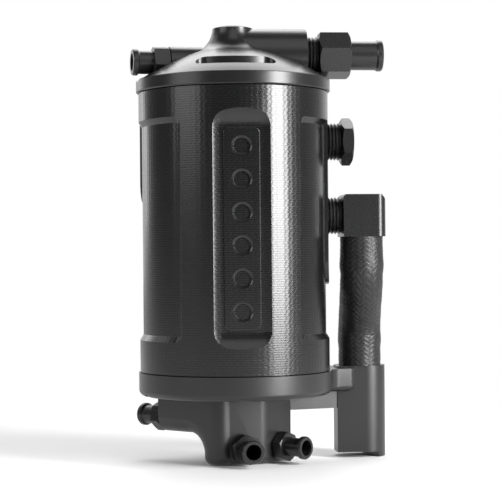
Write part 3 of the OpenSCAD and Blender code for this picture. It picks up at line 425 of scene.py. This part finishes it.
# %% Raised panel
PANEL_HALF_W, PANEL_HALF_H, PANEL_MID_Z, PANEL_Y = 9.5, 52.0, 124.3, -47.15
PANEL_RAISE, PANEL_EDGE, PANEL_DEEPEST = 1.3, 0.75, 1.6
CAN_R, CUT_REACH, CUT_LOW, CUT_TOP, CUT_SOFTNESS = 50.8, 26, 60, 190, 1.7
DIMPLES, DIMPLE_PITCH, DIMPLE_R, RIM_DEPTH, SHALLOW_RIM = 6, 16.9, 4.1, 1.12, 0.62
COLUMN_HALF_W, COLUMN_HALF_H = 6, 48.8
OUTLINE_ANGLE, RIM_ANGLE = 0.5, 0.12
LOOSE, LOOSE_R, LOOSE_RIM = 0.02, 0.06, 0.1
body = copy_of("can_body")
moved, rims = 0, 0
for corner in body.data.vertices:
    x, y, z = corner.co / MM
    up = z - PANEL_MID_Z
    in_outline = abs(x) <= PANEL_HALF_W + LOOSE and abs(up) <= PANEL_HALF_H + LOOSE
    if not in_outline or not PANEL_Y - LOOSE < y < PANEL_Y + PANEL_DEEPEST:
        continue
    nearest = round(up / DIMPLE_PITCH + (DIMPLES - 1) / 2)
    from_middle = math.hypot(x, up - (nearest - (DIMPLES - 1) / 2) * DIMPLE_PITCH)
    if abs(from_middle - DIMPLE_R) < LOOSE_RIM and abs(y - PANEL_Y - RIM_DEPTH) < LOOSE:
        y -= RIM_DEPTH - SHALLOW_RIM
        rims += 1
    corner.co.y = (y - PANEL_RAISE) * MM
    moved += 1
print("panel vertices raised:", moved, "of which on rims:", rims)
top_y = PANEL_Y - PANEL_RAISE
mesh = bmesh.new()
mesh.from_mesh(body.data)


def on_outline(edge):
    """True for an edge of the raised panel's outline, away from the dimples."""
    ends = [corner.co / MM for corner in edge.verts]
    level = all(abs(end.y - top_y) < LOOSE for end in ends)
    outside = all(abs(end.x) > COLUMN_HALF_W or abs(end.z - PANEL_MID_Z) > COLUMN_HALF_H for end in ends)
    return level and outside and edge.calc_face_angle(0) > OUTLINE_ANGLE


def on_cut_rim(edge):
    """True for an edge where the front cut meets the can's round outside."""
    ends = [corner.co / MM for corner in edge.verts]
    outside = all(abs(math.hypot(end.x, end.y) - CAN_R) < LOOSE_R for end in ends)
    at_cut = all(end.y < 0 and abs(end.x) < CUT_REACH and CUT_LOW < end.z < CUT_TOP for end in ends)
    return outside and at_cut and edge.is_manifold and edge.calc_face_angle(0) > RIM_ANGLE


outline = [edge for edge in mesh.edges if on_outline(edge)]
bmesh.ops.bevel(mesh, geom=outline, offset=PANEL_EDGE * MM, segments=3, profile=0.5, affect="EDGES")
print("panel outline edges rounded:", len(outline))
cut_rim = [edge for edge in mesh.edges if on_cut_rim(edge)]
bmesh.ops.bevel(mesh, geom=cut_rim, offset=CUT_SOFTNESS * MM, segments=4, profile=0.5, affect="EDGES",
                clamp_overlap=True)
mesh.to_mesh(body.data)
mesh.free()
print("edges of the front cut softened:", len(cut_rim))
break_edges(body, width_mm=0.22, material=can_finish)
stand_for(body, "can_body")

# %% [markdown]
# ## The other machined pieces
# The lid and the base have slightly wider broken edges than the can, and the small fittings the narrowest.

# %% Finished pieces
soften("lid", 0.35, lid_finish)
soften("base_manifold", 0.35, base_finish)
soften("elbow_fitting", 0.30, fitting_finish)
FITTING_EDGES = {"vent_fitting": 0.2, "side_plug": 0.25, "front_fitting": 0.15, "right_fitting": 0.15,
                 "left_fitting": 0.15}
for name, width in FITTING_EDGES.items():
    soften(name, width, fitting_finish)

# %% [markdown]
# A threaded fitting stops at whatever angle it is tight. In the photograph the big outlet hex stands with a
# flat just below the middle and only a sliver of the lowest one in the light, so this copy is turned about
# the outlet's axis.

# %% Outlet fitting
OUTLET_Z, OUTLET_TURN = 218.3, 18
outlet = copy_of("outlet_fitting")
to_axis = Matrix.Translation((0, 0, OUTLET_Z * MM))
turned = Matrix.Rotation(math.radians(OUTLET_TURN), 4, "X")
outlet.data.transform(to_axis @ turned @ to_axis.inverted())
break_edges(outlet, width_mm=0.25, material=fitting_finish)
stand_for(outlet, "outlet_fitting")

# %% [markdown]
# ## The braided hose
# The hose is rubber in a tight woven cover: flat yarn strands wind both ways round it, each going over two
# and under two of the others, which gives the chevrons in its highlight. The cover swells a little where
# each barb ends inside. A flat grid is rolled into the tube. Each point's radius comes from the two
# families of strands: whichever lies higher at that point is the one that shows, so the weave is real
# relief and not only a bump.

# %% Hose sizes
HOSE_TOP, HOSE_LOW = 120.45, 49.9
BEND_TOP, BEND_LOW = 103.45, 66.9
HOSE_X, SHIFT_X, SHIFT_Y = 69.1, 1.579, 18.983
HOSE_R, HOSE_BORE = 11.35, 8.1
SWELL, SWELL_REACH, SWELLS_AT = 0.4, 6.0, (105.45, 64.9)
STRANDS, STRAND_STEP, STRAND_H = 24, 2.4, 0.17
STRAND_ROUNDNESS, WRINKLE = 0.7, 0.09
AROUND, ALONG, BORE_ALONG = 192, 420, 30
hose_length = HOSE_TOP - HOSE_LOW
crossings = round(hose_length / STRAND_STEP)


def hose_lean(z):
    """How far over the hose is at height z, 0 at the elbow and 1 at the post, and how fast that changes."""
    t = min(1.0, max(0.0, (BEND_TOP - z) / (BEND_TOP - BEND_LOW)))
    return t * t * (3 - 2 * t), -6 * t * (1 - t) / (BEND_TOP - BEND_LOW)


def strand(across, along, side):
    """Height of one family of strands: a rounded strand that rides over two and under two."""
    round_top = math.sin(math.pi * (across % 1.0)) ** STRAND_ROUNDNESS
    ride = math.sin(math.pi / 2 * (along + math.floor(across)))
    return STRAND_H * (round_top + 0.5 * side * ride)


def hose_skin(u, v):
    """Radius of the woven cover and which family shows, at a share u round and v along."""
    a, b = u * STRANDS + v * crossings, u * STRANDS - v * crossings
    right, left = strand(a, b, 1.0), strand(b, a, -1.0)
    z = HOSE_LOW + v * hose_length
    swell = sum(SWELL * max(0.0, 1 - ((z - at) / SWELL_REACH) ** 2) ** 2 for at in SWELLS_AT)
    turn = 2 * math.pi * u
    wrinkle = WRINKLE * math.sin(0.55 * z + 1.2 * math.sin(turn)) * math.sin(2 * turn + 0.21 * z)
    return HOSE_R + swell + wrinkle + max(right, left), right > left


def hose_point(u, z, radius):
    """A point on a ring of the hose, square to its path."""
    lean, slope = hose_lean(z)
    tilt = math.atan(SHIFT_Y * slope)
    x, y = radius * math.cos(2 * math.pi * u), radius * math.sin(2 * math.pi * u)
    middle = Vector((HOSE_X + SHIFT_X * lean, SHIFT_Y * lean, z))
    return (middle + Vector((x, y * math.cos(tilt), -y * math.sin(tilt)))) * MM


# %% Woven cover and bore
SEAM = 1e-6
END_REACH = 2
HOSE_SMOOTH = math.radians(50)


def rolled_grid(name, around, along, shape, mark=None):
    """A grid rolled into a tube by shape(u, v), with its UV map. mark(u, v) fills the attribute over."""
    bpy.ops.object.select_all(action="DESELECT")
    bpy.ops.mesh.primitive_grid_add(x_subdivisions=around, y_subdivisions=along, size=1, calc_uvs=True)
    piece = bpy.context.active_object
    piece.name = name
    flat = [(corner.co.x + 0.5, corner.co.y + 0.5) for corner in piece.data.vertices]
    if mark:
        over = piece.data.attributes.new("over", "FLOAT", "POINT")
        over.data.foreach_set("value", [float(mark(u, v)) for u, v in flat])
    for corner, (u, v) in zip(piece.data.vertices, flat):
        corner.co = shape(u, v)
    bpy.ops.object.mode_set(mode="EDIT")
    bpy.ops.mesh.select_all(action="SELECT")
    bpy.ops.mesh.remove_doubles(threshold=SEAM)
    bpy.ops.object.mode_set(mode="OBJECT")
    return piece


def cover_point(u, v):
    """A point of the woven cover."""
    return hose_point(u, HOSE_LOW + v * hose_length, hose_skin(u, v)[0])


def bore_point(u, v):
    """A point of the smooth bore."""
    return hose_point(u, HOSE_LOW + v * hose_length, HOSE_BORE)


def right_on_top(u, v):
    """True where the strands that wind to the right lie on top."""
    return hose_skin(u, v)[1]


hose = rolled_grid("braided_hose", AROUND, ALONG, cover_point, right_on_top)
rolled_grid("bore", AROUND, BORE_ALONG, bore_point)
hose.select_set(True)
bpy.context.view_layer.objects.active = hose
bpy.ops.object.join()
for end_z in (HOSE_TOP, HOSE_LOW):
    mesh = bmesh.new()
    mesh.from_mesh(hose.data)
    rim = [edge for edge in mesh.edges
           if edge.is_boundary and abs(edge.verts[0].co.z / MM - end_z) < END_REACH]
    bmesh.ops.bridge_loops(mesh, edges=rim)
    mesh.to_mesh(hose.data)
    mesh.free()
bpy.ops.object.mode_set(mode="EDIT")
bpy.ops.mesh.select_all(action="SELECT")
bpy.ops.mesh.normals_make_consistent(inside=False)
bpy.ops.object.mode_set(mode="OBJECT")
bpy.ops.object.shade_smooth_by_angle(angle=HOSE_SMOOTH)

# %% [markdown]
# The yarns in a strand are too fine for the mesh. The finish draws them as a bump: the weave's own UV says
# where each strand runs, and the attribute over says which family lies on top, so the yarns always follow
# the strand that shows.

# %% Woven finish
yarns, given, result = new_group(
    "Yarns", {"Strands": ("Float", 24.0), "Crossings": ("Float", 30.0), "Yarns": ("Float", 5.0)},
    {"Height": "Float", "Tone": "Float"})
flat = yarns.nodes.new("ShaderNodeSeparateXYZ")
yarns.links.new(add(yarns, "ShaderNodeTexCoord", out=2), flat.inputs[0])
round_share = maths(yarns, "MULTIPLY", flat.outputs[0], given["Strands"])
along_share = maths(yarns, "MULTIPLY", flat.outputs[1], given["Crossings"])
right_way = maths(yarns, "ADD", round_share, along_share)
left_way = maths(yarns, "SUBTRACT", round_share, along_share)
on_top = add(yarns, "ShaderNodeAttribute", settings={"attribute_name": "over"}, out=2)
is_right = maths(yarns, "GREATER_THAN", on_top, 0.5)
across = add(yarns, "ShaderNodeMix", settings={"data_type": "FLOAT"}, i0=is_right, i2=left_way, i3=right_way)
turns = maths(yarns, "MULTIPLY", across, maths(yarns, "MULTIPLY", given["Yarns"], 2 * math.pi))
yarns.links.new(maths(yarns, "SINE", turns), result["Height"])
number = add(yarns, "ShaderNodeTexWhiteNoise", settings={"noise_dimensions": "1D"}, out=0,
             W=maths(yarns, "FLOOR", across))
yarns.links.new(number, result["Tone"])

braid_finish = bpy.data.materials.new("Black woven yarn")
braid_finish.use_nodes = True
tree = braid_finish.node_tree
skin = tree.nodes["Principled BSDF"]
YARNS_IN_STRAND, YARN_UM, FUZZ_UM = 5.0, 16, 18
yarn = use_group(tree, yarns, Strands=float(STRANDS), Crossings=float(crossings), Yarns=YARNS_IN_STRAND)
coat = use_group(tree, satin_coat, Colour=(0.007, 0.0071, 0.0077, 1), Gloss=0.42, Cloud=0.08, Grain=0.14)
tone = add(tree, "ShaderNodeMapRange", Value=yarn["Tone"], To_Min=0.7, To_Max=1.35)
tree.links.new(add(tree, "ShaderNodeMix", settings={"data_type": "RGBA", "blend_type": "MULTIPLY"}, out=2,
                   i0=1.0, i6=coat["Colour"], i7=tone), skin.inputs["Base Color"])
tree.links.new(coat["Roughness"], skin.inputs["Roughness"])
fuzz = add(tree, "ShaderNodeBump", Height=coat["Height"], Distance=FUZZ_UM * UM, Strength=1.0)
relief = add(tree, "ShaderNodeBump", Height=yarn["Height"], Distance=YARN_UM * UM, Strength=1.0, Normal=fuzz)
tree.links.new(relief, skin.inputs["Normal"])
skin.inputs["Specular IOR Level"].default_value = 0.55
hose.data.materials.clear()
hose.data.materials.append(braid_finish)
stand_for(hose, "transfer_hose")

# %% [markdown]
# ## Inner pieces
# The seals, the separator plates, the wire pack and the plate's screws are hidden in the closed can, and a
# barb is hidden in the hose. They are carried over and get their own finishes: matt rubber, brushed bare
# plate, knitted wire, phosphated spring steel and zinc. The base's screws show from below, recessed in the
# flange, and are black oxide. Brushing is noise that is stretched along one direction.

# %% Inner groups
brushing, given, result = new_group(
    "Brushing", {"Along": ("Float", 12.0), "Across": ("Float", 900.0)}, {"Line": "Float"})
stretch = brushing.nodes.new("ShaderNodeCombineXYZ")
for axis, key in enumerate(("Along", "Across", "Across")):
    brushing.links.new(given[key], stretch.inputs[axis])
stretched = add(brushing, "ShaderNodeVectorMath", settings={"operation": "MULTIPLY"},
                i0=add(brushing, "ShaderNodeTexCoord", out=3), i1=stretch.outputs[0])
lines = add(brushing, "ShaderNodeTexNoise", Vector=stretched, Scale=1.0, Detail=3.0)
brushing.links.new(lines, result["Line"])

WIRE_SHARPNESS = 4.0
knit, given, result = new_group(
    "Knitted wire", {"Stitch": ("Float", 2.6), "Wave": ("Float", 0.8)}, {"Wire": "Float"})
axes = knit.nodes.new("ShaderNodeSeparateXYZ")
knit.links.new(add(knit, "ShaderNodeTexCoord", out=3), axes.inputs[0])
turn_rate = maths(knit, "DIVIDE", 2 * math.pi * MM_IN_M, given["Stitch"])
waves = [maths(knit, "MULTIPLY", axes.outputs[axis], turn_rate) for axis in range(3)]
level_way = maths(knit, "ADD", waves[0], waves[1])
bent = maths(knit, "MULTIPLY_ADD", maths(knit, "SINE", level_way), given["Wave"], waves[2])
cross = maths(knit, "MULTIPLY_ADD", maths(knit, "SINE", waves[2]), given["Wave"], level_way)
wires = [maths(knit, "POWER", maths(knit, "ABSOLUTE", maths(knit, "SINE", way)), WIRE_SHARPNESS)
         for way in (bent, cross)]
knit.links.new(maths(knit, "MAXIMUM", *wires), result["Wire"])


# %% Inner finishes
PLAIN_CLOUD = 0.12


def plain_finish(name, colour, *, gloss, metal, grain_um, pattern=None, pattern_um=0.0, darker=1.0,
                 **values):
    """A finish from the satin coat, with an optional pattern that darkens it and lifts its surface."""
    material = bpy.data.materials.new(name)
    material.use_nodes = True
    tree = material.node_tree
    skin = tree.nodes["Principled BSDF"]
    skin.inputs["Metallic"].default_value = metal
    coat = use_group(tree, satin_coat, Colour=(*colour, 1), Edge_colour=(*colour, 1), Gloss=gloss,
                     Cloud=PLAIN_CLOUD)
    tint = coat["Colour"]
    normal = add(tree, "ShaderNodeBump", Height=coat["Height"], Distance=grain_um * UM, Strength=1.0)
    if pattern:
        line = use_group(tree, pattern, **values)[0]
        shade = add(tree, "ShaderNodeMapRange", Value=line, To_Min=darker, To_Max=1.0)
        tint = add(tree, "ShaderNodeMix", settings={"data_type": "RGBA", "blend_type": "MULTIPLY"}, out=2,
                   i0=1.0, i6=tint, i7=shade)
        normal = add(tree, "ShaderNodeBump", Height=line, Distance=pattern_um * UM, Strength=1.0,
                     Normal=normal)
    tree.links.new(tint, skin.inputs["Base Color"])
    tree.links.new(coat["Roughness"], skin.inputs["Roughness"])
    tree.links.new(normal, skin.inputs["Normal"])
    return material


rubber = plain_finish("Matt rubber", (0.012, 0.012, 0.012), gloss=0.62, metal=0.0, grain_um=14.0)
plate = plain_finish("Brushed plate", (0.70, 0.71, 0.72), gloss=0.34, metal=1.0, grain_um=2.0,
                     pattern=brushing, pattern_um=9.0, darker=0.82)
# The gaps between the wires are painted almost black: painted shade standing in for the depth of the pack.
wire = plain_finish("Knitted steel wire", (0.55, 0.56, 0.57), gloss=0.30, metal=1.0, grain_um=2.0,
                    pattern=knit, pattern_um=260.0, darker=0.03)
spring = plain_finish("Phosphated spring steel", (0.10, 0.103, 0.11), gloss=0.5, metal=1.0, grain_um=12.0)
zinc = plain_finish("Zinc plate", (0.58, 0.60, 0.63), gloss=0.30, metal=1.0, grain_um=4.0,
                    pattern=brushing, pattern_um=3.0, darker=0.92, Along=60.0)
oxide = plain_finish("Black oxide", (0.035, 0.035, 0.038), gloss=0.38, metal=0.6, grain_um=7.0)

INNER = {"post_barb": fitting_finish, "lid_seal": rubber, "base_seal": rubber, "lower_baffle": plate,
         "upper_baffle": plate, "slosh_baffle": plate, "mesh_pack": wire, "retaining_ring": spring,
         "slosh_screws": zinc}
for name, finish in INNER.items():
    mesh = nodes[name].data
    mesh.materials.clear()
    mesh.materials.append(finish)
soften("base_screws", 0.2, oxide)
